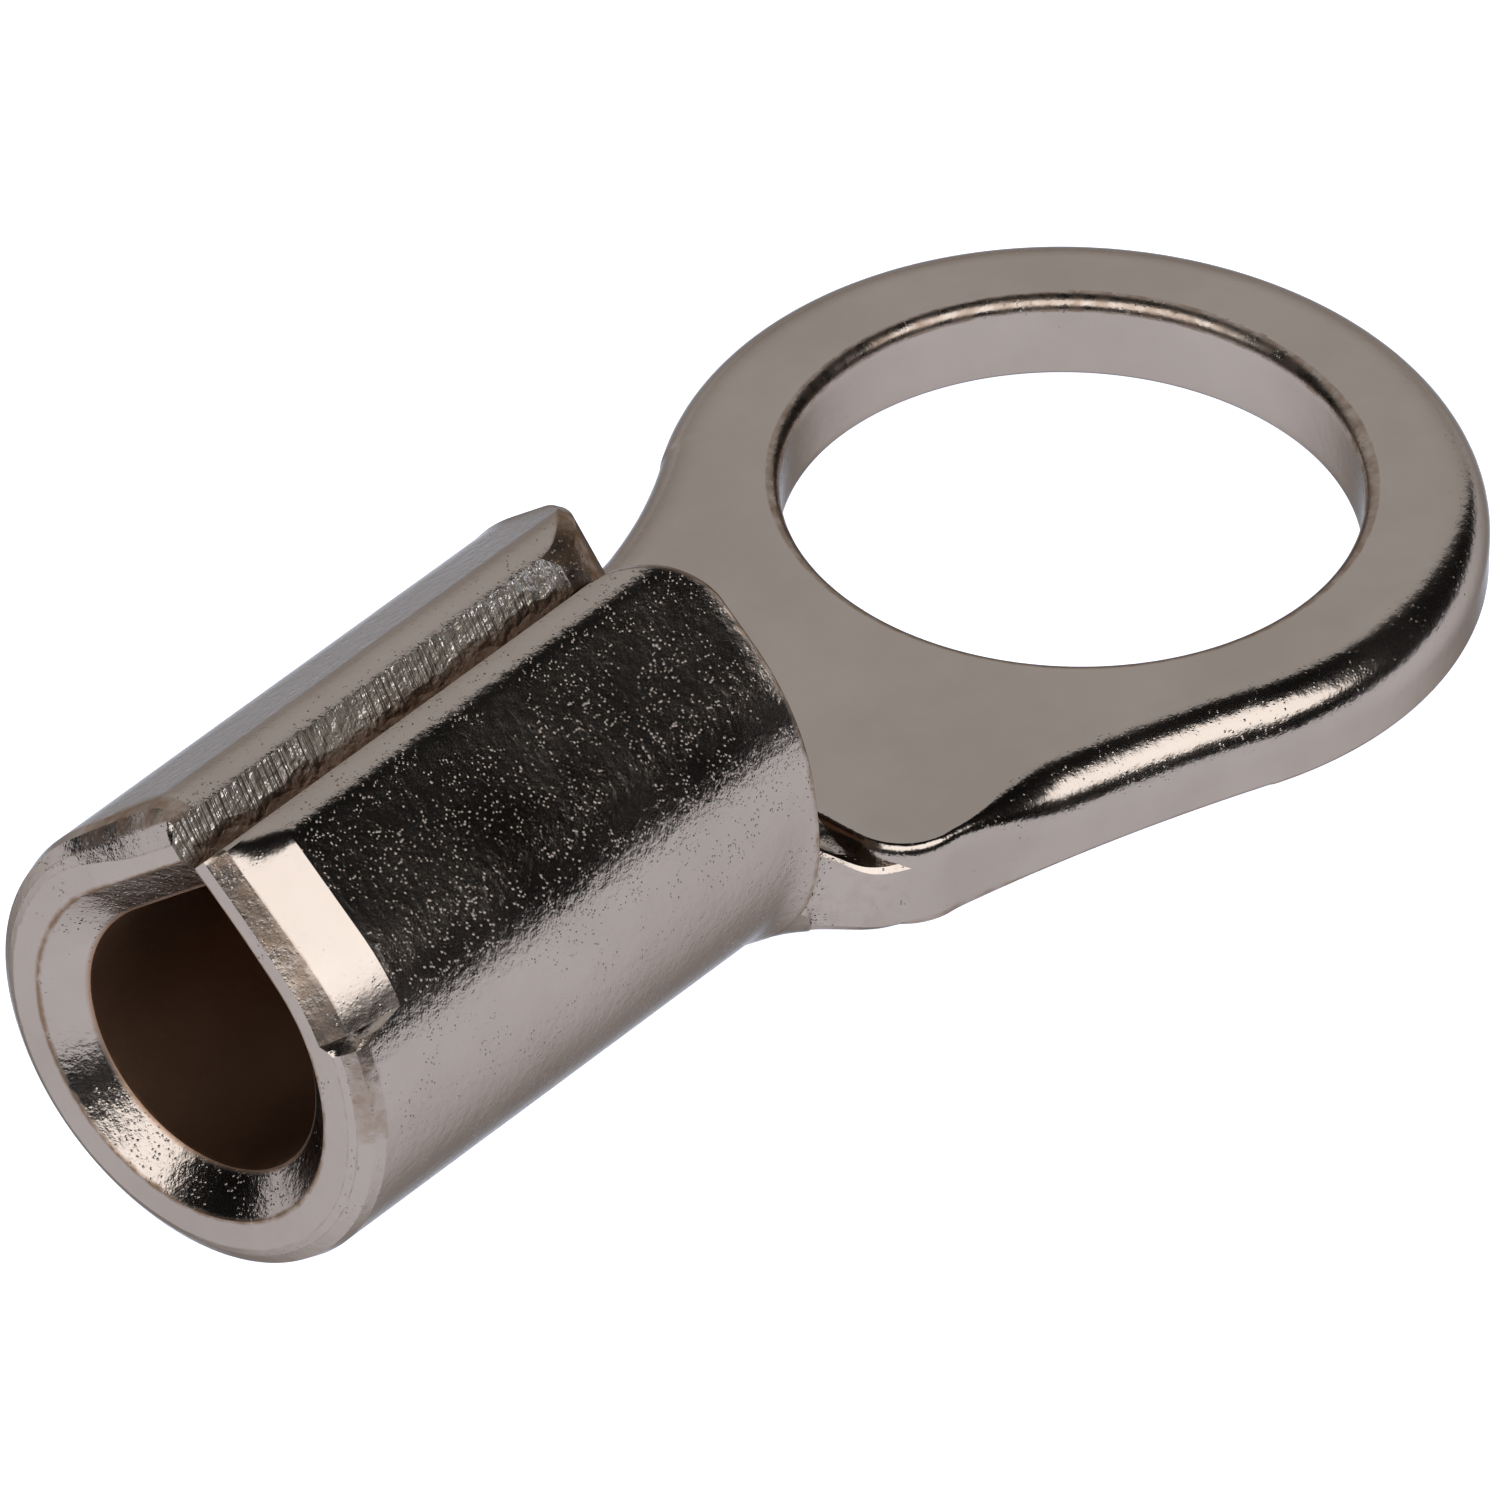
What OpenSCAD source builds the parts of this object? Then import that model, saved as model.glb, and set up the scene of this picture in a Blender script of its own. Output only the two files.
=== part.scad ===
// Uninsulated ring terminal: one stamped sheet, flat at the ring and rolled at the barrel.
// Origin: centre of the stud hole on the tongue's underside. +Z is up the stud,
// the wire barrel points to -X and the tip of the ring to +X. Millimetres.

/* [Sheet and ring] */
// Thickness of the copper sheet
sheet_t = 0.85; // [0.7:0.05:0.95]
// Diameter of the stud hole
hole_d = 5.2; // [4.2:0.1:5.4]
// Outside diameter of the ring
ring_d = 7.46; // [7.2:0.02:8.4]
// Radius of the rolled-over top edge of the ring and tongue
edge_r = 0.5; // [0.1:0.05:0.5]
// Radius of the stud hole's top lip
lip_top_r = 0.15; // [0.1:0.05:0.3]
// Radius of the stud hole's bottom lip
lip_bottom_r = 0.07; // [0.05:0.01:0.2]

/* [Tongue and shoulders] */
// Length of the tongue, from the stud hole's centre to the back of its shoulders
tongue_l = 5.22; // [5:0.02:6.5]
// Width of the tongue across its shoulders
tongue_w = 4.9; // [4.4:0.1:5.6]
// Radius of the hollow side between ring and shoulder, on the +Y side
flank_left_r = 6; // [4:0.5:24]
// The same on the -Y side, where the blank is cut fuller
flank_right_r = 20; // [4:0.5:24]
// Radius of the shoulder corners, seen from above
shoulder_r = 0.65; // [0.3:0.05:0.8]

/* [Neck] */
// Width of the neck's sheet between the two relief slots
neck_w = 3.3; // [2.4:0.1:3.6]
// Width of each relief slot, along the terminal
slot_w = 0.9; // [0.6:0.05:1.1]
// Radius in the slot's inner corner, next to the shoulder
slot_corner_r = 0.25; // [0.1:0.05:0.4]
// Length of the step from the tongue down to the barrel
joggle_l = 1.25; // [1.15:0.05:1.6]
// Length over which the sheet starts to curl
curl_l = 1.1; // [1:0.05:1.2]

/* [Barrel] */
// Outside diameter of the round part of the barrel
barrel_d = 4.25; // [4:0.05:4.6]
// Length of the barrel, from the relief slots to the mouth
barrel_l = 6.05; // [5:0.05:8]
// Slope of the two wings that lean together over the seam
wing_slope = 40; // [34:1:44]
// Distance of each wing's outer corner from the middle plane
wing_tip_y = 0.4; // [0.36:0.01:0.5]
// Radius of the wing's outer corner along the seam
wing_edge_r = 0.3; // [0.1:0.05:0.35]
// Radius of the wing corners at the relief slots
wing_corner_r = 0.7; // [0.2:0.05:0.9]
// Clearance left in the butted seam
seam_gap = 0.05; // [0.03:0.01:0.1]

/* [Mouth] */
// Lean of the mouth's face away from square, top edge set back
mouth_rake = 2; // [0:0.5:8]
// How much wider the bell mouth is than the bore, on the radius
bell_w = 0.36; // [0.2:0.01:0.4]
// Depth of the bell mouth along the bore
bell_l = 0.35; // [0.2:0.05:0.6]
// Width of the broken outer edge round the mouth
mouth_edge_w = 0.22; // [0.1:0.01:0.25]
// Width left of the sheet where the coined bevel on the wings turns steep
bevel_knee_w = 0.69; // [0.6:0.01:0.75]
// How far behind the mouth's face that turn lies
bevel_knee_l = 0.2; // [0.15:0.01:0.3]
// Length of the coined bevel along the wings
bevel_l = 0.64; // [0.5:0.02:0.9]
// Height of the bevel's two ends above the barrel's axis, as an angle round the section
bevel_end = 29; // [10:1:40]

/* [Hidden] */
$fn = 144;
hole_r = hole_d / 2;
ring_r = ring_d / 2;
barrel_r = barrel_d / 2;
bore_r = barrel_r - sheet_t;
// the barrel sits half a sheet lower than the tongue
axis_z = barrel_r - sheet_t / 2;
half_w = tongue_w / 2;
// a hollow flank bites this far into the ring's circle, so the two curves cross
flank_bite = 0.01;
// its rolled edge runs on this many degrees into the ring
flank_run_on = 2;
// the web starts under the middle of the ring's flat top
web_start_r = (hole_r + lip_top_r + ring_r - edge_r) / 2;
back_x = -tongue_l;
corner_x = back_x + shoulder_r;
corner_y = half_w - shoulder_r;
// distance and direction of the shoulder corner's start, from the ring's centre
corner_l = norm([corner_x, half_w]);
corner_turn = atan2(half_w, corner_x);
// the barrel starts behind the relief slots
barrel_x = back_x - slot_w;
mouth_x = barrel_x - barrel_l;
neck_half = neck_w / 2;
// where the round wall turns straight, for the wing on the +Y side
turn_y = barrel_r * sin(wing_slope);
wing_l = (turn_y - wing_tip_y) / cos(wing_slope);
wing_x = barrel_x - wing_corner_r;
// the neck's root reaches inside the barrel's wall and its other end inside the tongue
root_l = 0.2;
// the neck's faces stay this far inside those of the barrel and the tongue
neck_ease = 0.02;
neck_steps = 10;
neck_sides = 12;
// reach of the cutting forms beyond the metal
past = 0.5;
far = 6;

// Stands a section up on the barrel's axis at x: its x to +Y, its y to +Z
module on_axis(x) {
    translate([x, 0, axis_z])
        rotate([90, 0, 90])
            children();
}

// Centre of the flank curve of radius r that leaves the ring and meets the shoulder corner
function flank_turn(r) = let (reach = ring_r + r - flank_bite)
    corner_turn - acos((pow(corner_l, 2) + pow(reach, 2) - pow(r, 2)) / (2 * corner_l * reach));
function flank_centre(r) = (ring_r + r - flank_bite) * [cos(flank_turn(r)), sin(flank_turn(r))];

// Outline of the web behind the ring: its hollow flanks and rounded shoulders, from above
module web_outline() {
    left = flank_centre(flank_left_r);
    right = flank_centre(flank_right_r);
    difference() {
        polygon([[0, 0], left, [corner_x, half_w], [corner_x, -half_w], [right.x, -right.y]]);
        translate(left)
            circle(r = flank_left_r);
        translate([right.x, -right.y])
            circle(r = flank_right_r, $fn = 3 * $fn);
        circle(r = web_start_r);
    }
    translate([back_x, -corner_y])
        square([shoulder_r, 2 * corner_y]);
    for (side = [-1, 1])
        intersection() {
            translate([corner_x, side * corner_y])
                circle(r = shoulder_r);
            translate([back_x, side * half_w - half_w / 2])
                square([shoulder_r, half_w]);
        }
}

// What a rolled edge takes off: the corner outside a quarter circle of radius edge_r
module edge_strip() {
    difference() {
        translate([-edge_r, -edge_r])
            square(edge_r + past);
        translate([-edge_r, -edge_r])
            circle(r = edge_r);
    }
}

// Rolls the top edge of a hollow flank over, from the shoulder corner to the ring
module flank_roll(r) {
    centre = flank_centre(r);
    start = atan2(half_w - centre.y, corner_x - centre.x);
    translate([centre.x, centre.y, sheet_t])
        rotate([0, 0, start])
            rotate_extrude(angle = flank_turn(r) - 180 - start + flank_run_on, $fn = 3 * $fn)
                translate([r, 0])
                    mirror([1, 0])
                        edge_strip();
}

// Half section of the stud hole with a rounded lip at each end
module stud_hole_half() {
    translate([0, -past])
        square([hole_r, sheet_t + 2 * past]);
    difference() {
        translate([0, sheet_t - lip_top_r])
            square([hole_r + lip_top_r, lip_top_r + past]);
        translate([hole_r + lip_top_r, sheet_t - lip_top_r])
            circle(r = lip_top_r);
    }
    difference() {
        translate([0, -past])
            square([hole_r + lip_bottom_r, lip_bottom_r + past]);
        translate([hole_r + lip_bottom_r, lip_bottom_r])
            circle(r = lip_bottom_r);
    }
}

// The ring, turned from its half section: rolled top edge outside, two lips inside
module ring() {
    rotate_extrude()
        difference() {
            square([ring_r, sheet_t]);
            translate([ring_r, sheet_t])
                edge_strip();
            stud_hole_half();
        }
}

// The web from the ring back to the shoulders, with its rolled top edges
module web() {
    difference() {
        linear_extrude(height = sheet_t)
            web_outline();
        flank_roll(flank_left_r);
        mirror([0, 1, 0])
            flank_roll(flank_right_r);
    }
}

// The sheet unrolls along the neck: u runs from 0 at the barrel to 1 at the flat tongue.
// Its middle layer climbs half a sheet and its curl fades out, both along a cosine.
function fade(u) = (1 + cos(180 * min(max(u, 0), 1))) / 2;
function neck_rise(u) = (1 - fade(u)) * sheet_t / 2;
function neck_curl(u) = fade(u * joggle_l / curl_l) / (barrel_r - sheet_t / 2);
// half width of the flat sheet there, with the rounded inner corners of the slots
function neck_side(u) = let (left = min(max(back_x - barrel_x - u * joggle_l, 0), slot_corner_r))
    neck_half + slot_corner_r - sqrt(pow(slot_corner_r, 2) - pow(slot_corner_r - left, 2));
// point of the sheet at u, s off the middle plane along the sheet, n above its middle layer
function neck_point(u, s, n) = let (curl = neck_curl(u), lean = curl * s * 180 / PI)
    [barrel_x + u * joggle_l,
        (curl > 0 ? sin(lean) / curl : s) - n * sin(lean),
        neck_rise(u) + (curl > 0 ? (1 - cos(lean)) / curl : 0) + n * cos(lean)];
function neck_row(u, n) = [for (i = [-neck_sides:2:neck_sides])
    neck_point(u, neck_side(u) * i / neck_sides, n)];
function lifted(row) = [for (p = row) [p.x, p.y, far]];

// Two triangles over the four-sided patch of points a, b, c, d
function patch(a, b, c, d) = [[a, b, c], [a, c, d]];

// Closed form between a lower and an upper set of rows of points
module between(lower, upper) {
    rows = len(lower);
    n = len(lower[0]);
    top = rows * n;
    last = top - n;
    faces = [
        for (r = [0:rows - 2], c = [0:n - 2]) let (a = r * n + c)
            each concat(patch(a, a + n, a + n + 1, a + 1),
                patch(top + a, top + a + 1, top + a + n + 1, top + a + n)),
        for (r = [0:rows - 2]) let (a = r * n, b = a + n - 1)
            each concat(patch(a, top + a, top + a + n, a + n),
                patch(b, b + n, top + b + n, top + b)),
        for (c = [0:n - 2]) let (b = last + c)
            each concat(patch(c, c + 1, top + c + 1, top + c),
                patch(b, top + b, top + b + 1, b + 1))
    ];
    polyhedron([for (row = concat(lower, upper)) each row], faces);
}

// The neck: the sheet between the barrel's wall and the tongue, stepped down and curled
module neck_form() {
    n = sheet_t / 2 - neck_ease;
    stations = [-root_l / joggle_l, for (i = [0:neck_steps]) i / neck_steps, 1 + root_l / joggle_l];
    between([for (u = stations) neck_row(u, -n)], [for (u = stations) neck_row(u, n)]);
}

// The space above the neck, which takes the back of the tongue's top down to the sheet
module neck_hollow() {
    n = sheet_t / 2 - neck_ease / 2;
    start = (slot_w - slot_corner_r) / joggle_l;
    stations = [for (i = [0:neck_steps]) start + (1 - start) * i / neck_steps];
    rows = [for (u = stations) neck_row(u, n)];
    between(rows, [for (row = rows) lifted(row)]);
}

// Section of the wing on the -Y side: straight from the round wall to its sheared edge
module wing_section() {
    rotate([0, 0, wing_slope])
        translate([0, bore_r]) {
            square([wing_l - wing_edge_r, sheet_t]);
            square([wing_l, sheet_t - wing_edge_r]);
            translate([wing_l - wing_edge_r, sheet_t - wing_edge_r])
                circle(r = wing_edge_r);
        }
}

// Section of the barrel: a round wall with two wings that meet in a V over the seam
module barrel_section() {
    difference() {
        circle(r = barrel_r);
        circle(r = bore_r);
        polygon([
            [0, 0],
            [far * sin(wing_slope), far * cos(wing_slope)],
            [-far * sin(wing_slope), far * cos(wing_slope)]
        ]);
    }
    for (side = [0, 1])
        mirror([side, 0])
            difference() {
                wing_section();
                translate([-seam_gap / 2, 0])
                    square([far, far]);
            }
}

// Places a form that is modelled along the -Y wing, once on each side of the seam
module on_wings(x) {
    for (side = [0, 1])
        mirror([0, side, 0])
            intersection() {
                on_axis(x)
                    rotate([0, 0, wing_slope])
                        children();
                translate([x - past, -far, axis_z])
                    cube([2 * far, far, far]);
            }
}

// Rounds the wing corners, next to the relief slots
module wing_corners() {
    on_wings(wing_x)
        translate([wing_l - wing_corner_r, bore_r - past, 0])
            difference() {
                cube([wing_corner_r + past, sheet_t + 2 * past, wing_corner_r + past]);
                rotate([-90, 0, 0])
                    cylinder(r = wing_corner_r, h = sheet_t + 2 * past);
            }
}

// What the bell mouth takes off, in radius and depth from the mouth's face
module bell_profile() {
    polygon([[0, -past], [bore_r + bell_w, -past], [bore_r + bell_w, 0], [bore_r, bell_l], [0, bell_l]]);
}

// What the broken edge takes off outside
module mouth_edge_profile() {
    polygon([[barrel_r - mouth_edge_w, -past], [barrel_r - mouth_edge_w, 0],
        [barrel_r + past, mouth_edge_w + past], [far, past], [far, -past]]);
}

// What the coined bevel takes off outside, steep at the knee and shallow behind it
module bevel_profile() {
    polygon([[bore_r + bell_w, -past], [bore_r + bell_w, 0], [bore_r + bevel_knee_w, bevel_knee_l],
        [barrel_r, bevel_l], [barrel_r + 1, bevel_l], [barrel_r + 1, -past]]);
}

// Runs a profile of radius and depth straight along the -Y wing, past its edge
module along_wing() {
    rotate([0, 0, wing_slope])
        rotate([90, 0, 90])
            linear_extrude(height = wing_l + past)
                children();
}

// Runs the coined bevel round the -Y side, from its end up to the wing and along it
module wing_bevel() {
    rotate([0, 0, 90 + wing_slope])
        rotate_extrude(angle = 90 - wing_slope - bevel_end)
            bevel_profile();
    along_wing()
        bevel_profile();
}

// The tools that dress the mouth: end face, bell mouth, broken edge and the wings' bevel
module mouth_tools() {
    translate([mouth_x, 0, axis_z])
        rotate([0, mouth_rake, 0])
            rotate([90, 0, 90]) {
                translate([-far, -far, -far])
                    cube([2 * far, 2 * far, far]);
                rotate_extrude()
                    bell_profile();
                rotate_extrude()
                    mouth_edge_profile();
                for (side = [0, 1])
                    mirror([side, 0, 0])
                        intersection() {
                            union() {
                                wing_bevel();
                                along_wing()
                                    bell_profile();
                            }
                            translate([-far, 0, -past])
                                cube([far, far, far]);
                        }
            }
}

// Rolled barrel with its butted seam on top and its dressed mouth
module barrel() {
    difference() {
        on_axis(mouth_x - past)
            linear_extrude(height = barrel_l + past)
                barrel_section();
        mouth_tools();
        wing_corners();
    }
}

// The flat ring and tongue with the neck formed down from it
module tongue() {
    difference() {
        union() {
            ring();
            web();
        }
        neck_hollow();
    }
    neck_form();
}

// The whole terminal, one folded sheet
module terminal() {
    color([0.72, 0.7, 0.68])
        union() {
            tongue();
            barrel();
        }
}

terminal();
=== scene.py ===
# %% [markdown]
# # A tin-plated ring terminal in Blender
# A ring terminal is one stamped sheet of copper: flat round the stud hole, stepped down through
# a short neck, and rolled into a barrel for the wire. Then it is tumbled and plated with tin.
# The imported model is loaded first. It stays where it is, and everything here is fitted to it.

# %% Load the frame
import math
import bmesh
import bpy
from mathutils import Matrix, Vector


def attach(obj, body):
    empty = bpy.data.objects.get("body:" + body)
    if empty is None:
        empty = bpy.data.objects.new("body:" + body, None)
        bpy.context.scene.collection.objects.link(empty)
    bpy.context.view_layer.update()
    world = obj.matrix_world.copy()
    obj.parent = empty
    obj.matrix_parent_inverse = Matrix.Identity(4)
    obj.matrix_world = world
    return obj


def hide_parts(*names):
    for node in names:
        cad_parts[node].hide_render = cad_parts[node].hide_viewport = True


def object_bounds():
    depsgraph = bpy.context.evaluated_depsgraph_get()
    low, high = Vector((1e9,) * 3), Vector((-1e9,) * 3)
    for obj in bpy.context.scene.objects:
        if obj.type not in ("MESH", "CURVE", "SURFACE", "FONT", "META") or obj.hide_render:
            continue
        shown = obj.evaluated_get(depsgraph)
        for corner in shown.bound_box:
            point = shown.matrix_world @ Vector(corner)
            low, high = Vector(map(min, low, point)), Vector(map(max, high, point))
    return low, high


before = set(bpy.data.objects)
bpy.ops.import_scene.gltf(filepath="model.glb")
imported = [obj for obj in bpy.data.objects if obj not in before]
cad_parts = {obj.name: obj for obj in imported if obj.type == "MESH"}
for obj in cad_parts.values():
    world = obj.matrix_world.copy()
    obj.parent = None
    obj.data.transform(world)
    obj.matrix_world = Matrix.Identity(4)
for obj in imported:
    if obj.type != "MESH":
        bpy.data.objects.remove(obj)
cad_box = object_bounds()
print("CAD box in mm:", [[round(1000 * c, 3) for c in corner] for corner in cad_box])

# %% [markdown]
# ## Sizes
# Blender works in metres, so each size is written in millimetres and multiplied by MM once.
# They are the sheet's own sizes: how thick it is, how far it is rolled, and where it is cut.
# A bent sheet keeps the length of its middle layer, so widths are measured along that layer.

# %% The sheet, the ring and the barrel
MM = 0.001
TINY = 0.0001 * MM
sheet = 0.85 * MM
half = sheet / 2
hole_r, ring_r = 2.6 * MM, 3.725 * MM
ring_roll = 0.5 * MM  # radius of the ring's rolled-over top edge
shoulder_roll = 0.1 * MM  # how wide the same edge is at the shoulders
shoulder_drop = 0.3  # and how much of the ring's depth it keeps there
top_lip, low_lip = 0.15 * MM, 0.07 * MM  # lips of the stud hole
burr_r = 0.03 * MM
barrel_r = 2.125 * MM
layer_r = barrel_r - half
barrel_end, mouth = -6.12 * MM, -12.17 * MM
wing_start = math.radians(140)  # the wall is round up to here, and straight in the wing
wing_len = 1.26 * MM
round_len = layer_r * wing_start
sheet_end = round_len + wing_len
print("rolled sheet is", round(2000 * sheet_end, 2), "mm wide when flat")

# %% [markdown]
# ## A grid for every part of the sheet
# Each part of the terminal is a closed skin, so it starts as a plain grid from create_grid. One
# way of the grid runs round the skin and the other along it. A function then puts each vertex
# where the metal is, the two long edges are merged, and the two open ends are filled.

# %% Soft steps and paths
def step(t):
    """0 before 0, 1 after 1, and an even, soft rise between them."""
    t = min(max(t, 0), 1)
    return t * t * (3 - 2 * t)


def mix(a, b, t):
    return a + (b - a) * t


def spread(parts):
    """Stations from 0 to len(parts), with as many even steps in each part as its number says."""
    return [k + n / count for k, count in enumerate(parts) for n in range(count)] + [len(parts)]


def along_path(points, t):
    """The point at t on a path of straight lines, where whole numbers are its corners."""
    k = min(int(t), len(points) - 2)
    return points[k].lerp(points[k + 1], t - k)


print("a soft step at a quarter of the way:", step(0.25))

# %% Grid to skin
MARKS = ("wear", "bore", "rough")


def new_skin():
    """An empty bmesh whose vertices can be marked as worn, in the bore, or roughly formed."""
    bm = bmesh.new()
    for name in MARKS:
        bm.verts.layers.float.new(name)
    return bm


def skin(bm, around, along, place, marks):
    """Adds a closed skin to bm. place(i, j) gives the point of column i and row j."""
    before = set(bm.faces)
    made = bmesh.ops.create_grid(bm, x_segments=around, y_segments=along, size=0.5)["verts"]
    for v in made:
        i, j = round((v.co.x + 0.5) * around) % around, round((v.co.y + 0.5) * along)
        v.co = place(i, j)
        for name, value in zip(MARKS, marks(i, j)):
            v[bm.verts.layers.float[name]] = value
    bmesh.ops.remove_doubles(bm, verts=made, dist=1e-9)
    faces = [f for f in bm.faces if f not in before]
    ends = {e for f in faces for e in f.edges if e.is_boundary}
    faces += bmesh.ops.holes_fill(bm, edges=list(ends), sides=0)["faces"]
    bmesh.ops.recalc_face_normals(bm, faces=faces)
    return faces


terminal = new_skin()
print("marks on each vertex:", terminal.verts.layers.float.keys())

# %% [markdown]
# ## The ring
# The ring is turned: its half section is a rectangle whose corners are bevelled, and spin takes
# it round the stud hole. The punch rolled the top edge over much more than the others.

# %% Half section of the ring
ring = new_skin()
bmesh.ops.create_grid(ring, x_segments=1, y_segments=1, size=0.5)
bmesh.ops.transform(ring, verts=ring.verts, matrix=Matrix.Rotation(math.pi / 2, 4, "X"))
bmesh.ops.scale(ring, verts=ring.verts, vec=(ring_r - hole_r, 1, sheet))
bmesh.ops.translate(ring, verts=ring.verts, vec=((ring_r + hole_r) / 2, 0, half))


def round_corner(bm, x, z, radius, segments):
    corner = min(bm.verts, key=lambda v: (v.co - Vector((x, 0, z))).length)
    bmesh.ops.bevel(bm, geom=[corner], offset=radius, segments=segments, profile=0.5,
                    affect="VERTICES", material=-1)


round_corner(ring, ring_r, sheet, ring_roll, 14)
round_corner(ring, ring_r, 0, burr_r, 2)
round_corner(ring, hole_r, sheet, top_lip, 9)
round_corner(ring, hole_r, 0, low_lip, 4)
# the long straight edges get vertices in between, so that they can bend later
straight = [e for e in ring.edges if e.calc_length() > 0.2 * MM]
bmesh.ops.subdivide_edges(ring, edges=straight, cuts=9)
print("half section:", len(ring.verts), "vertices")

# %% Spin it once round
columns = 576
bmesh.ops.delete(ring, geom=ring.faces[:], context="FACES_ONLY")
bmesh.ops.spin(ring, geom=ring.verts[:] + ring.edges[:], cent=(0, 0, 0), axis=(0, 0, 1),
               angle=2 * math.pi, steps=columns, use_merge=True)
bmesh.ops.recalc_face_normals(ring, faces=ring.faces)
print("ring skin:", len(ring.verts), "vertices")

# %% [markdown]
# ## The tongue
# The ring's skin also becomes the tongue. Every column of it is drawn out backwards to the
# outline of the blank. The outline leaves the ring on a hollow flank, turns round a shoulder and
# crosses straight over the back. The flank is fuller on one side, where the blank was cut so.

# %% Outline of the blank, by its direction from the stud hole
shoulder_x, shoulder_y, shoulder_r = -4.57 * MM, 1.8 * MM, 0.65 * MM
tongue_y = shoulder_y + shoulder_r
back_x = shoulder_x - shoulder_r
flank_bite = 0.01 * MM  # the flank's circle cuts this far into the ring's


def flank(radius):
    """Centre of the hollow flank's circle on the +Y side, and its direction."""
    reach = ring_r + radius - flank_bite
    corner = math.hypot(shoulder_x, tongue_y)
    heading = math.atan2(tongue_y, shoulder_x)
    heading -= math.acos((corner ** 2 + reach ** 2 - radius ** 2) / (2 * corner * reach))
    return Vector((math.cos(heading), math.sin(heading))) * reach, heading


def on_circle(direction, centre, radius, far):
    """Where a ray from the stud hole meets a circle, on its near or far side."""
    along = centre.dot(direction)
    depth = math.sqrt(max(along ** 2 - centre.length_squared + radius ** 2, 0))
    return direction * (along + (depth if far else -depth))


def outline(heading, radius):
    """Point of the blank's edge in this direction, on the +Y side, and the way into the metal."""
    ray = Vector((math.cos(heading), math.sin(heading)))
    centre, flank_heading = flank(radius)
    if heading <= flank_heading:
        return ray * ring_r, -ray
    at = on_circle(ray, centre, radius, False)
    if at.x > shoulder_x:
        return at, (at - centre).normalized()
    corner = Vector((shoulder_x, shoulder_y))
    at = on_circle(ray, corner, shoulder_r, True)
    if at.y > shoulder_y:
        return at, (corner - at).normalized()
    return ray * (back_x / ray.x), Vector((1, 0))


print("half width of the tongue at its back:", round(1000 * tongue_y, 2), "mm")

# %% Draw the tongue out of the ring
left_flank, right_flank = 6 * MM, 20 * MM
roll_fade = 1.2 * MM
lip_end = hole_r + top_lip
wear, rough = ring.verts.layers.float["wear"], ring.verts.layers.float["rough"]
for v in ring.verts:
    heading, radius = math.atan2(v.co.y, v.co.x), v.co.xy.length
    side = 1 if heading > 0 else -1
    edge, inward = outline(abs(heading), left_flank if side > 0 else right_flank)
    # how far the vertex is from the rim, and how far below the top
    deep, low = ring_r - radius, sheet - v.co.z
    on_top = low < TINY
    v[wear] = 0.6 if low < top_lip and radius < lip_end else 0.5 if v.co.z < burr_r else 0
    v[rough] = 0.06 if on_top else 0.35
    # the rolled edge gets narrow and steep towards the shoulder
    roll = mix(shoulder_roll, ring_roll, step((edge.x - shoulder_x) / roll_fade))
    roll_depth = roll + shoulder_drop * (ring_roll - roll)
    if deep < ring_roll + TINY and low < ring_roll + TINY:
        deep, low = deep * roll / ring_roll, low * roll_depth / ring_roll
    elif deep < TINY:
        low = mix(roll_depth, sheet, (low - ring_roll) / (sheet - ring_roll))
    at = edge + inward * min(deep, roll)
    if deep > roll and radius > lip_end:
        # the flat faces stretch between the blank's edge and the stud hole's lip
        inset = roll if low < TINY else burr_r
        lip = v.co.xy.normalized() * lip_end
        lip.y = abs(lip.y)
        t = step(step((deep - inset) / (ring_r - lip_end - inset)))
        at = (edge + inward * inset).lerp(lip, t)
    elif deep > roll:
        at = Vector((v.co.x, abs(v.co.y)))
    v.co = Vector((at.x, side * at.y, sheet - low))
print("tongue reaches back to", round(1000 * min(v.co.x for v in ring.verts), 2), "mm")

# %% [markdown]
# ## Rolling the sheet
# The barrel and the neck are the same sheet, curled more and more. So both are made flat, with
# s across the sheet and n through its thickness, towards the outside of the curl, and one
# function then rolls them. It walks across the sheet through a list of bends, each with a length
# and a curvature, as a press would make them. The curl fades out along the neck while the sheet
# climbs to the tongue, and the heel of the barrel already gives way to it.

# %% The roll
curl_from, curl_to = -6.5 * MM, -5.15 * MM
climb_from, climb_to = -6.3 * MM, -5.1 * MM
# across the sheet, the heel gives way within the first length and no more beyond the second
heel_len, heel_back = 1.5 * MM, 3.0 * MM


def fade(x, start, end):
    t = min(max((x - start) / (end - start), 0), 1)
    return (1 + math.cos(math.pi * t)) / 2


def bent(s, n, bends):
    """Place in the section after walking s along the bends: y sideways and z up."""
    left, turn, y, z = s, 0.0, 0.0, 0.0
    for length, curve in bends:
        part, curve = min(left, length), curve / layer_r
        if curve > 1:
            y += (math.sin(turn + curve * part) - math.sin(turn)) / curve
            z += (math.cos(turn) - math.cos(turn + curve * part)) / curve
            turn += curve * part
        else:
            y, z = y + part * math.cos(turn), z + part * math.sin(turn)
        left -= part
        if left <= 0:
            break
    return Vector((y + n * math.sin(turn), z - n * math.cos(turn)))


def rolled(x, s, n):
    """Place of a point of the flat sheet: x along it, s across it, n outwards from its middle."""
    wall = bent(abs(s), n, [(round_len, 1), (wing_len, 0)])
    heel = bent(abs(s), n, [(sheet_end, fade(x, curl_from, curl_to))])
    on_barrel = 1 - step((x - barrel_end) / (0.2 * MM))
    at = heel.lerp(wall, on_barrel * step((abs(s) - heel_len) / (heel_back - heel_len)))
    climb = half * (1 - fade(x, climb_from, climb_to))
    return Vector((x, at.x if s >= 0 else -at.x, at.y + climb))


print("top of the wings:", round(1000 * rolled(mouth, sheet_end, half).z, 2), "mm up")

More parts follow.
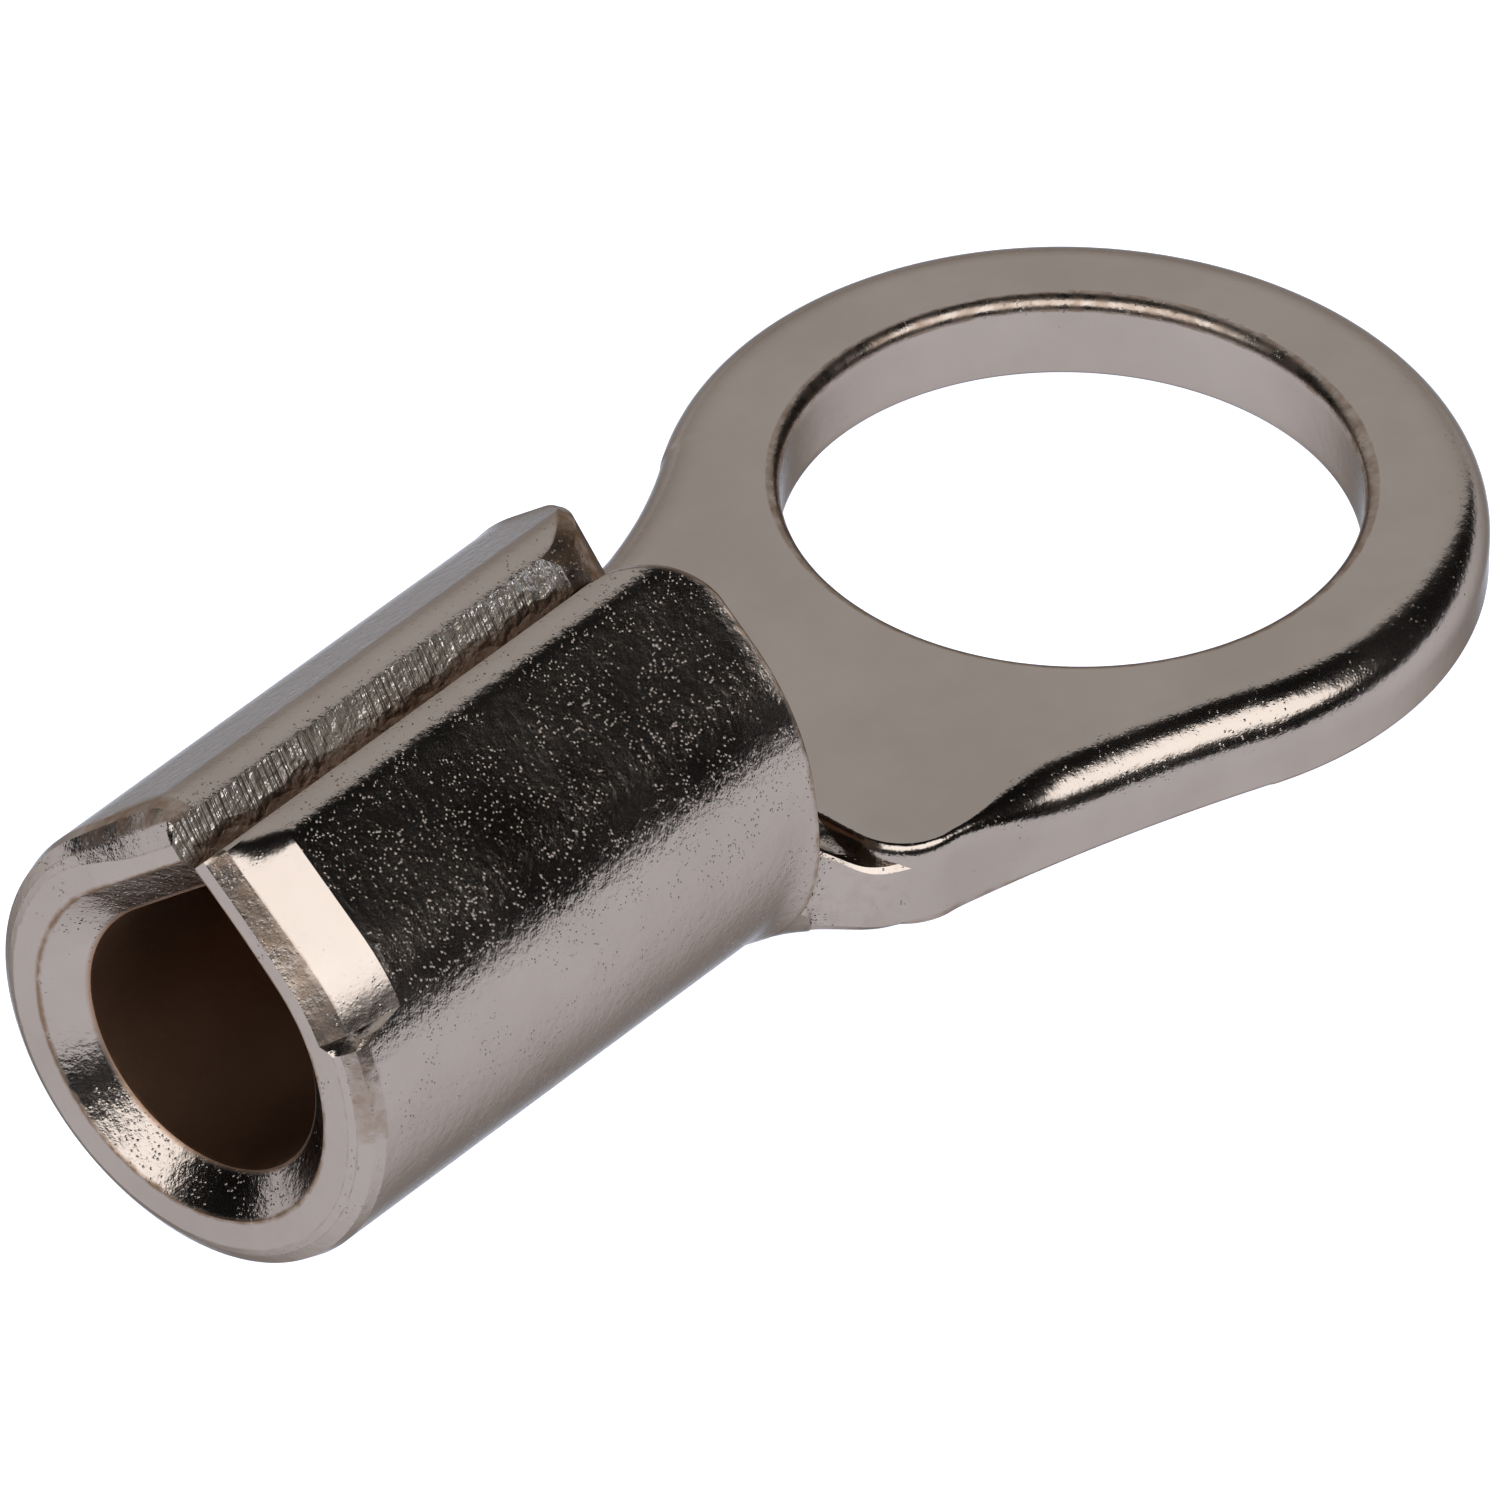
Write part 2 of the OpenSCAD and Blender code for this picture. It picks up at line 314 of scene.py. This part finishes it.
# %% [markdown]
# ## The barrel
# Round its skin, a column runs along the outside to the mouth, over the dressed rim, down the
# bell into the bore, back along the bore and up the cut end. Each corner of that path is a
# named place. The rows step across the sheet from one seam edge to the other. A coined bevel
# runs along the right wing, and a small one along the left, so the path changes from row to row.

# %% How the mouth's edge is dressed
seam_gap = 0.02 * MM
wing_edge, wing_edge_r = 0.36 * MM, 0.42 * MM  # the seam's outer edge: how far in, and its radius
wing_corner = 0.8 * MM  # radius of the wings' corners next to the neck
bevel_stop = layer_r * math.radians(119)  # the coined bevel lies beyond this on the right
wing_from = layer_r * math.radians(128)  # and the broken edge widens beyond this on the left
bell_len = 0.3 * MM
coin_knee_x, coin_start_x = -11.94 * MM, -11.41 * MM


def mouth_face(s):
    """The mouth's face is set back at the top, along both wings."""
    return mouth + 0.09 * MM * step((abs(s) - 2.6 * MM) / (2.4 * MM))


def dressed_edge(s, face):
    """Start, knee and flat height of the edge between the outside and the mouth's face."""
    if s < 0:
        k = step((-s - bevel_stop) / (0.1 * MM) + 0.5)
        knee = Vector((mix(face + 0.03 * MM, coin_knee_x, k), mix(0.27, 0.255, k) * MM))
        start_x = mix(face + 0.24 * MM, coin_start_x, k)
    else:
        k = step((s - wing_from) / (1.2 * MM))
        knee = Vector((face + mix(0.03, 0.12, k) * MM, 0.27 * MM))
        start_x = face + mix(0.24, 0.42, k) * MM
    return start_x, knee, mix(0.2, 0.08, k) * MM


print("mouth is set back", round(1000 * (mouth_face(sheet_end) - mouth), 3), "mm at the seam")

# %% Path round the barrel's skin
def barrel_path(s):
    face = mouth_face(s)
    start_x, knee, flat_n = dressed_edge(s, face)
    close = sheet_end - abs(s)
    # rolled-over outer corner of the seam edge, and the rounded corner next to the neck
    drop = wing_edge_r - math.sqrt(wing_edge_r ** 2 - max(wing_edge - close, 0) ** 2)
    cut = wing_corner - math.sqrt(max(wing_corner ** 2 - max(wing_corner - close, 0) ** 2, 0))
    top, end = half - drop, barrel_end - cut
    knee.y = min(knee.y, top - 0.01 * MM)
    # a broken edge is rounded, and a coined one is a flat facet
    bulge = 0.45 if s < 0 and -s >= bevel_stop else 0.75
    r = mix(0.035, 0.15, step(1 - close / wing_corner)) * MM
    return [
        Vector((end - r, top)),  # 0: outside, next to the neck
        Vector((start_x, top)),  # 1: where the edge starts to fall
        Vector((mix(knee.x, start_x, 0.4), mix(knee.y, top, bulge))),
        knee,
        Vector((face, flat_n)),  # 4 and 5: the flat face of the mouth
        Vector((face, -0.08 * MM)),
        Vector((face + bell_len, -half)),  # 6: foot of the bell, in the bore
        Vector((end - r, -half)),  # 7: end of the bore
        Vector((end, -half + r)),  # 8 and 9: the cut end
        Vector((end, top - r)),
        Vector((end - r, top)),
    ]


round_parts = [70, 5, 5, 5, 5, 8, 46, 3, 5, 3]
stations = spread(round_parts)[:-1]
print("the path has", len(round_parts), "parts and", len(stations), "stations")

# %% Rows across the sheet
rows = 232


def across(j):
    """Rows lie closer together towards both seam edges."""
    t = 2 * j / rows - 1
    return sheet_end * math.copysign(1 - (1 - abs(t)) ** 1.25, t)


paths = [barrel_path(across(j)) for j in range(rows + 1)]


def barrel_place(i, j):
    x, n = along_path(paths[j], stations[i])
    s = across(j)
    at = rolled(x, s, n)
    # neither wing crosses the seam
    side = 1 if s > 0 else -1
    if abs(s) > round_len and at.y * side < seam_gap:
        at.y = side * seam_gap
    return at


seam_row = across(rows) - across(rows - 1)
print("rows at the seam are", round(1e6 * seam_row, 2), "micrometres apart")

# %% Worn places, the bore, and where the skin is rough
corner_wear = {3: 0.55, 4: 0.45, 5: 1, 6: 0.45}
end_wear = 0.8
scuff_len, scuff_x = 0.8 * MM, -11.4 * MM


def barrel_marks(i, j):
    station, s = stations[i], across(j)
    x = along_path(paths[j], station).x
    worn = corner_wear.get(station, end_wear if station >= 8 or station == 0 else 0)
    if -bevel_stop < s < -bevel_stop + scuff_len and x < scuff_x and 1 <= station < 3:
        worn = 0.55
    if s > wing_from + 0.4 * MM and 1 < station < 3 or s < -bevel_stop and 3 < station < 4:
        worn = 0.65
    in_bore = 6 <= station <= 7
    coined = s < -bevel_stop and 1 <= station <= 3
    return worn, 1 if in_bore else 0, 0.3 if in_bore else 0.15 if coined else 1


print("wear by corner of the path:", corner_wear)

# %% Barrel
barrel = skin(terminal, len(stations), rows, barrel_place, barrel_marks)
# the two filled ends are the seam's edges, which get a finish of their own
for face in barrel:
    if len(face.verts) > 8:
        face.material_index = 1
print("barrel skin:", len(barrel), "faces")

# %% [markdown]
# ## The neck
# The neck is a bar of the same sheet with softly rounded corners. It starts inside the barrel's
# heel, widens at both ends to fill the corners of the relief slots, and ends inside the tongue.
# It is thinner by a hair than the other two, so that no two faces lie in the same place.

# %% Half width along the neck
neck_half = 1.62 * MM
neck_start, neck_end = -6.4 * MM, -4.72 * MM
ease = 0.004 * MM
fillet, fillet_len = 0.34 * MM, 0.42 * MM
flare, flare_from, flare_len = 0.72 * MM, -5.78 * MM, 1.05 * MM


def neck_side(x):
    """Half width of the flat sheet along the neck, from the slot's corner out to the shoulder."""
    at_barrel = fillet * (1 - step((x - barrel_end) / fillet_len))
    opened = min(max((x - flare_from) / flare_len, 0), 1)
    return neck_half + at_barrel + flare * math.sin(math.pi / 2 * opened)


print("neck widens to", round(2000 * neck_side(neck_end), 2), "mm at the tongue")

# %% Neck
neck_rows = 64
neck_stations = spread([28, 2, 4, 2, 28, 2, 4, 2])[:-1]
slot_give, slot_give_x, slot_give_s = 0.16 * MM, -5.7 * MM, 1.2 * MM


def neck_place(i, j):
    x = mix(neck_start, neck_end, j / neck_rows)
    w, h, r = neck_side(x), half - ease, 0.05 * MM
    section = [Vector((-w + r, h)), Vector((w - r, h)), Vector((w, h - r)), Vector((w, -h + r)),
               Vector((w - r, -h)), Vector((-w + r, -h)), Vector((-w, -h + r)),
               Vector((-w, h - r)), Vector((-w + r, h))]
    s, n = along_path(section, neck_stations[i])
    # the top gives way towards the slots
    if n < 0:
        near_slot = step((abs(s) - slot_give_s) / (0.6 * MM))
        n += slot_give * step((x - slot_give_x) / (0.4 * MM)) * near_slot
    return rolled(x, s, n)


neck = skin(terminal, len(neck_stations), neck_rows, neck_place, lambda i, j: (0.3, 0, 1))
print("neck skin:", len(neck), "faces")

# %% [markdown]
# ## One piece
# The three skins go into one mesh, because the terminal is one piece of metal. Edges that turn
# by more than 14 degrees stay sharp, and all the others are shaded smooth. The piece rides on
# the frame's root and takes the place of the plain solid.

# %% Join the skins into one piece
ring_mesh = bpy.data.meshes.new("ring_skin")
ring.to_mesh(ring_mesh)
ring.free()
terminal.from_mesh(ring_mesh)
bpy.data.meshes.remove(ring_mesh)
for e in terminal.edges:
    if len(e.link_faces) == 2 and e.calc_face_angle(0) > math.radians(14):
        e.smooth = False
mesh = bpy.data.meshes.new("terminal_metal")
terminal.to_mesh(mesh)
terminal.free()
for polygon in mesh.polygons:
    polygon.use_smooth = True
piece = bpy.data.objects.new("terminal_metal", mesh)
bpy.context.scene.collection.objects.link(piece)
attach(piece, "root")
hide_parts("terminal")
mesh.calc_loop_triangles()
print("triangles:", len(mesh.loop_triangles))

# %% [markdown]
# ## Finishes
# Bright tin plate over a drawn copper sheet is a metal that mirrors softly, with a fine grain
# and bright specks from forming. Colours are sRGB hex values, made linear by one function.
# A pattern's scale is a number per metre: its features are about 1000 / scale mm across.

# %% Helpers for colours and nodes
def linear(hex_colour):
    """sRGB hex such as 'a8a09a' to linear RGBA."""
    parts = [int(hex_colour[k:k + 2], 16) / 255 for k in (0, 2, 4)]
    return [c / 12.92 if c <= 0.04045 else ((c + 0.055) / 1.055) ** 2.4 for c in parts] + [1]


def add(tree, kind, links=None, **settings):
    """Adds a node, sets its properties and its unlinked inputs, and links the others."""
    node = tree.nodes.new(kind)
    for name, value in settings.items():
        setattr(node, name, value)
    for name, value in (links or {}).items():
        if isinstance(value, bpy.types.NodeSocket):
            tree.links.new(value, node.inputs[name])
        else:
            node.inputs[name].default_value = value
    return node


def new_material(name):
    """A material without nodes, and its node tree."""
    material = bpy.data.materials.new(name)
    material.use_nodes = True
    material.node_tree.nodes.clear()
    return material, material.node_tree


print("linear mid grey:", [round(c, 3) for c in linear("808080")])

# %% [markdown]
# ### Bright tin plate
# The plate has faint clouds 1.4 mm across, lighter and darker. Where it is worn on corners, the
# wear breaks up along its edges over 0.17 mm and lets a browner, duller metal through. In the
# bore the plate is thin and dull.

# %% Colour and roughness of the plate
plate, plate_tree = new_material("bright_tin_plate")
plate_shader = add(plate_tree, "ShaderNodeBsdfPrincipled")
add(plate_tree, "ShaderNodeOutputMaterial", {"Surface": plate_shader.outputs["BSDF"]})
on_plate = add(plate_tree, "ShaderNodeTexCoord").outputs["Object"]
cloud = add(plate_tree, "ShaderNodeTexNoise", {
    "Vector": on_plate, "Scale": 700, "Detail": 4, "Roughness": 0.6}).outputs["Fac"]
lighter = add(plate_tree, "ShaderNodeMapRange", {
    "Value": cloud, "From Min": 0.35, "From Max": 0.65}).outputs["Result"]
worn = add(plate_tree, "ShaderNodeAttribute", attribute_name="wear").outputs["Fac"]
bore = add(plate_tree, "ShaderNodeAttribute", attribute_name="bore").outputs["Fac"]
broken = add(plate_tree, "ShaderNodeTexNoise", {
    "Vector": on_plate, "Scale": 6000, "Detail": 3, "Roughness": 0.6}).outputs["Fac"]
worn = add(plate_tree, "ShaderNodeMath", {0: worn, 1: broken}, operation="MULTIPLY").outputs[0]
worn = add(plate_tree, "ShaderNodeMapRange", {
    "Value": worn, "From Min": 0.15, "From Max": 0.5}).outputs["Result"]
plate_colour = linear("90857c")
for share, hex_colour in ((lighter, "978c83"), (worn, "75604f"), (bore, "8a6c56")):
    plate_colour = add(plate_tree, "ShaderNodeMix", {
        "Factor": share, 6: plate_colour, 7: linear(hex_colour)}, data_type="RGBA").outputs[2]
dull = add(plate_tree, "ShaderNodeMapRange", {
    "Value": cloud, "From Min": 0.3, "From Max": 0.7, "To Min": 0.14,
    "To Max": 0.22}).outputs["Result"]
for share, more in ((worn, 0.25), (bore, 0.3)):
    dull = add(plate_tree, "ShaderNodeMath", {0: share, 1: more, 2: dull},
               operation="MULTIPLY_ADD").outputs[0]
print("plate so far:", len(plate_tree.nodes), "nodes")

# %% [markdown]
# ### Grain and specks of the plate
# Rolling roughened the barrel's skin. Its grain is about 0.1 mm across, and it is crowded with
# bright specks of 0.03 mm, which are the steep sides of single grains under the tin. Crowds of
# them are 0.45 mm across. The grain is 7 micrometres deep and the specks are 15.

# %% Relief of the plate
formed = add(plate_tree, "ShaderNodeAttribute", attribute_name="rough").outputs["Fac"]
grain = add(plate_tree, "ShaderNodeTexNoise", {
    "Vector": on_plate, "Scale": 9500, "Detail": 3, "Roughness": 0.6}).outputs["Fac"]
amount = add(plate_tree, "ShaderNodeMapRange", {
    "Value": formed, "To Min": 0.35, "To Max": 1}).outputs["Result"]
grain = add(plate_tree, "ShaderNodeMath", {0: grain, 1: amount}, operation="MULTIPLY").outputs[0]
cells = add(plate_tree, "ShaderNodeTexVoronoi", {
    "Vector": on_plate, "Scale": 33000, "Randomness": 1})
specks = add(plate_tree, "ShaderNodeMapRange", {
    "Value": cells.outputs["Distance"], "From Max": 0.5, "To Min": 1, "To Max": 0},
    interpolation_type="SMOOTHSTEP").outputs["Result"]
chosen = add(plate_tree, "ShaderNodeSeparateColor", {
    "Color": cells.outputs["Color"]}).outputs["Red"]
chosen = add(plate_tree, "ShaderNodeMapRange", {
    "Value": chosen, "From Min": 0.58, "From Max": 1}).outputs["Result"]
crowd = add(plate_tree, "ShaderNodeTexNoise", {
    "Vector": on_plate, "Scale": 2200, "Detail": 3, "Roughness": 0.7}).outputs["Fac"]
crowd = add(plate_tree, "ShaderNodeMapRange", {
    "Value": crowd, "From Min": 0.4, "From Max": 0.7}).outputs["Result"]
for share in (chosen, crowd, formed):
    specks = add(plate_tree, "ShaderNodeMath", {0: specks, 1: share},
                 operation="MULTIPLY").outputs[0]
relief = add(plate_tree, "ShaderNodeBump", {
    "Strength": 1, "Distance": 0.007 * MM, "Height": grain}).outputs["Normal"]
relief = add(plate_tree, "ShaderNodeBump", {
    "Strength": 1, "Distance": 0.015 * MM, "Height": specks, "Normal": relief}).outputs["Normal"]
print("plate with its relief:", len(plate_tree.nodes), "nodes")

# %% The plate's shader
for name, output in {"Base Color": plate_colour, "Roughness": dull, "Normal": relief}.items():
    plate_tree.links.new(output, plate_shader.inputs[name])
plate_shader.inputs["Metallic"].default_value = 1
plate_shader.inputs["Specular Tint"].default_value = linear("9a9794")
mesh.materials.append(plate)
print("finish:", plate.name)

# %% [markdown]
# ### Sheared edge of the seam
# The punch left bright score lines across the outer part of the thickness, some 0.07 mm apart
# and in bunches of 0.8 mm. They lean a little. The metal tore off behind them, at a height of
# about 3.8 mm, which left a dull, brownish strip with a grain of 0.1 mm.

# %% Score lines
edge_finish, edge_tree = new_material("sheared_seam_edge")
edge_shader = add(edge_tree, "ShaderNodeBsdfPrincipled")
add(edge_tree, "ShaderNodeOutputMaterial", {"Surface": edge_shader.outputs["BSDF"]})
on_edge = add(edge_tree, "ShaderNodeTexCoord").outputs["Object"]
edge_axes = add(edge_tree, "ShaderNodeSeparateXYZ", {"Vector": on_edge})
lean = add(edge_tree, "ShaderNodeMath", {
    0: edge_axes.outputs["Z"], 1: 0.06, 2: edge_axes.outputs["X"]},
    operation="MULTIPLY_ADD").outputs[0]
along_seam = add(edge_tree, "ShaderNodeCombineXYZ", {"X": lean}).outputs["Vector"]
lines = add(edge_tree, "ShaderNodeTexNoise", {
    "Vector": along_seam, "Scale": 15000, "Detail": 2}).outputs["Fac"]
bunches = add(edge_tree, "ShaderNodeTexNoise", {
    "Vector": along_seam, "Scale": 1300, "Detail": 1}).outputs["Fac"]
bunches = add(edge_tree, "ShaderNodeMapRange", {
    "Value": bunches, "From Min": 0.38, "From Max": 0.55, "To Min": 0.25}).outputs["Result"]
print("score lines:", len(edge_tree.nodes), "nodes")

# %% Torn strip
torn_edge = add(edge_tree, "ShaderNodeTexNoise", {
    "Vector": on_edge, "Scale": 3000, "Detail": 3}).outputs["Fac"]
height = add(edge_tree, "ShaderNodeMath", {
    0: torn_edge, 1: 0.3 * MM, 2: edge_axes.outputs["Z"]}, operation="MULTIPLY_ADD").outputs[0]
scored = add(edge_tree, "ShaderNodeMapRange", {
    "Value": height, "From Min": 3.78 * MM, "From Max": 3.88 * MM}).outputs["Result"]
score_depth = lines
for share in (bunches, scored):
    score_depth = add(edge_tree, "ShaderNodeMath", {0: score_depth, 1: share},
                      operation="MULTIPLY").outputs[0]
edge_colour = add(edge_tree, "ShaderNodeMix", {
    "Factor": scored, 6: linear("a08d7f"), 7: linear("b5ada4")}, data_type="RGBA").outputs[2]
torn_grain = add(edge_tree, "ShaderNodeTexNoise", {
    "Vector": on_edge, "Scale": 9000, "Detail": 3}).outputs["Fac"]
edge_relief = add(edge_tree, "ShaderNodeBump", {
    "Strength": 1, "Distance": 0.07 * MM, "Height": score_depth}).outputs["Normal"]
edge_relief = add(edge_tree, "ShaderNodeBump", {
    "Strength": 1, "Distance": 0.035 * MM, "Height": torn_grain,
    "Normal": edge_relief}).outputs["Normal"]
edge_tree.links.new(edge_colour, edge_shader.inputs["Base Color"])
edge_tree.links.new(edge_relief, edge_shader.inputs["Normal"])
edge_shader.inputs["Metallic"].default_value = 1
edge_shader.inputs["Roughness"].default_value = 0.34
mesh.materials.append(edge_finish)
print("finish:", edge_finish.name)

# %% [markdown]
# ## Studio
# The terminal lies on a pale table in front of a pale sweep, in a dark room, with one large
# soft light round and above the camera. A mirror-bright metal shows its surroundings, so they
# are built as real things round it, and only the camera is kept from seeing the room.

# %% [markdown]
# ### Camera
# A long lens stands 250 mm away, beside the mouth and well above it. The two offsets slide the
# camera sideways and down, which keeps its direction.

# %% Camera
azimuth, elevation, roll_angle = math.radians(-50.995), math.radians(38.388), math.radians(1.185)
distance, offset_x, offset_y = 250 * MM, 2.8515 * MM, -1.7451 * MM
toward = Vector((math.sin(azimuth) * math.cos(elevation),
                 -math.cos(azimuth) * math.cos(elevation), math.sin(elevation)))
level_x = Vector((math.cos(azimuth), math.sin(azimuth), 0))
level_y = toward.cross(level_x)
camera_x = level_x * math.cos(roll_angle) + level_y * math.sin(roll_angle)
camera_y = level_y * math.cos(roll_angle) - level_x * math.sin(roll_angle)
camera_data = bpy.data.cameras.new("camera")
camera_data.sensor_width, camera_data.lens = 36, 674.28
camera_data.clip_start, camera_data.clip_end = 0.01, 20
camera = bpy.data.objects.new("camera", camera_data)
camera_at = camera_x * -offset_x + camera_y * offset_y + toward * distance
camera_turn = Matrix((camera_x, camera_y, toward)).transposed().to_4x4()
camera.matrix_world = Matrix.Translation(camera_at) @ camera_turn
bpy.context.scene.collection.objects.link(camera)
bpy.context.scene.camera = camera
print("camera at", [round(1000 * c, 1) for c in camera_at], "mm")

# %% [markdown]
# ### Table
# The table is matt and grey to the light, so it keeps the terminal's shadow. It also glows for
# rays from the camera and for mirrored and transmitted ones, so that it looks white to them.

# %% Table
def stage_object(name, bm, material):
    stage_mesh = bpy.data.meshes.new(name)
    bm.to_mesh(stage_mesh)
    bm.free()
    stage_mesh.materials.append(material)
    made = bpy.data.objects.new(name, stage_mesh)
    bpy.context.scene.collection.objects.link(made)
    return made


table, table_tree = new_material("pale_table")
matt = add(table_tree, "ShaderNodeBsdfDiffuse", {"Color": linear("b4b4b4")})
path = add(table_tree, "ShaderNodeLightPath")
seen = path.outputs["Is Camera Ray"]
for kind in ("Is Glossy Ray", "Is Transmission Ray"):
    seen = add(table_tree, "ShaderNodeMath", {0: seen, 1: path.outputs[kind]},
               operation="MAXIMUM").outputs[0]
seen = add(table_tree, "ShaderNodeMath", {0: seen, 1: 1.15}, operation="MULTIPLY").outputs[0]
table_glow = add(table_tree, "ShaderNodeEmission", {"Color": linear("e7eeff"), "Strength": seen})
both = add(table_tree, "ShaderNodeAddShader", {0: matt.outputs[0], 1: table_glow.outputs[0]})
add(table_tree, "ShaderNodeOutputMaterial", {"Surface": both.outputs[0]})
floor_z = cad_box[0].z
table_bm = bmesh.new()
bmesh.ops.create_circle(table_bm, cap_ends=True, segments=64, radius=1.5)
bmesh.ops.translate(table_bm, verts=table_bm.verts, vec=(0, 0, floor_z))
floor = stage_object("floor", table_bm, table)
print("table:", len(floor.data.polygons), "face at", round(1000 * floor_z, 3), "mm")

# %% [markdown]
# ### Room, sweep and soft light
# The room is a dome, and it glows by direction. The sweep is a round patch opposite the camera,
# which gives the flat top its even tone. The window is a tall bright patch, which gives the
# coined bevel and the rolled edges their highlights. All the rest is nearly black.

# %% Sweep
room, room_tree = new_material("studio_room")
unit = add(room_tree, "ShaderNodeVectorMath", {
    0: add(room_tree, "ShaderNodeTexCoord").outputs["Object"]}, operation="NORMALIZE").outputs[0]
sweep_way = Vector((0.62, 0.75, 0.35)).normalized()
aligned = add(room_tree, "ShaderNodeVectorMath", {0: unit, 1: sweep_way}, operation="DOT_PRODUCT")
sweep = add(room_tree, "ShaderNodeMapRange", {
    "Value": aligned.outputs["Value"], "From Min": math.cos(math.radians(49)),
    "From Max": math.cos(math.radians(46))}, interpolation_type="SMOOTHSTEP").outputs["Result"]
print("sweep reaches 46 to 49 degrees round", [round(c, 2) for c in sweep_way])

# %% Window
def between(tree, value, low, high, soft):
    """1 where value lies between low and high, with soft borders."""
    rise = add(tree, "ShaderNodeMapRange", {
        "Value": value, "From Min": low - soft, "From Max": low + soft})
    fall = add(tree, "ShaderNodeMapRange", {
        "Value": value, "From Min": high - soft, "From Max": high + soft, "To Min": 1,
        "To Max": 0})
    return add(tree, "ShaderNodeMath", {0: rise.outputs["Result"], 1: fall.outputs["Result"]},
               operation="MULTIPLY").outputs[0]


# half a turn round, so that the window doesn't cross the place where the angle jumps
away = add(room_tree, "ShaderNodeVectorMath", {0: unit, 1: (-1, -1, 1)}, operation="MULTIPLY")
room_axes = add(room_tree, "ShaderNodeSeparateXYZ", {"Vector": away.outputs[0]})
around = add(room_tree, "ShaderNodeMath", {0: room_axes.outputs["Y"], 1: room_axes.outputs["X"]},
             operation="ARCTAN2").outputs[0]
height_angle = add(room_tree, "ShaderNodeMath", {0: room_axes.outputs["Z"]},
                   operation="ARCSINE").outputs[0]
window = add(room_tree, "ShaderNodeMath", {
    0: between(room_tree, around, math.radians(-26), math.radians(120), 0.03),
    1: between(room_tree, height_angle, math.radians(25), math.radians(60), 0.03)},
    operation="MULTIPLY").outputs[0]
print("window spans 146 degrees round and 35 degrees up")

# %% Room
window_strength, dark_strength = 3.5, 0.012
total = add(room_tree, "ShaderNodeMath", {0: window, 1: window_strength}, operation="MULTIPLY")
total = add(room_tree, "ShaderNodeMath", {0: total.outputs[0], 1: sweep}, operation="MAXIMUM")
total = add(room_tree, "ShaderNodeMath", {0: total.outputs[0], 1: dark_strength}, operation="ADD")
room_glow = add(room_tree, "ShaderNodeEmission", {
    "Color": linear("f8fbff"), "Strength": total.outputs[0]})
add(room_tree, "ShaderNodeOutputMaterial", {"Surface": room_glow.outputs[0]})
room_bm = bmesh.new()
bmesh.ops.create_uvsphere(room_bm, u_segments=64, v_segments=32, radius=1.4)
bmesh.ops.bisect_plane(room_bm, geom=room_bm.verts[:] + room_bm.edges[:] + room_bm.faces[:],
                       plane_co=(0, 0, floor_z - MM), plane_no=(0, 0, -1), clear_outer=True)
dome = stage_object("studio_room", room_bm, room)
dome.visible_camera = False
print("room:", len(dome.data.polygons), "faces")

# %% [markdown]
# ### Backdrop
# The world is plain white behind the room. The view transform is Standard, so a colour comes
# out as it was written.

# %% World
world = bpy.data.worlds.new("white_backdrop")
bpy.context.scene.world = world
world.use_nodes = True
world.node_tree.nodes["Background"].inputs["Color"].default_value = linear("ffffff")
world.node_tree.nodes["Background"].inputs["Strength"].default_value = 1
bpy.context.scene.view_settings.view_transform = "Standard"
print("world:", world.name)
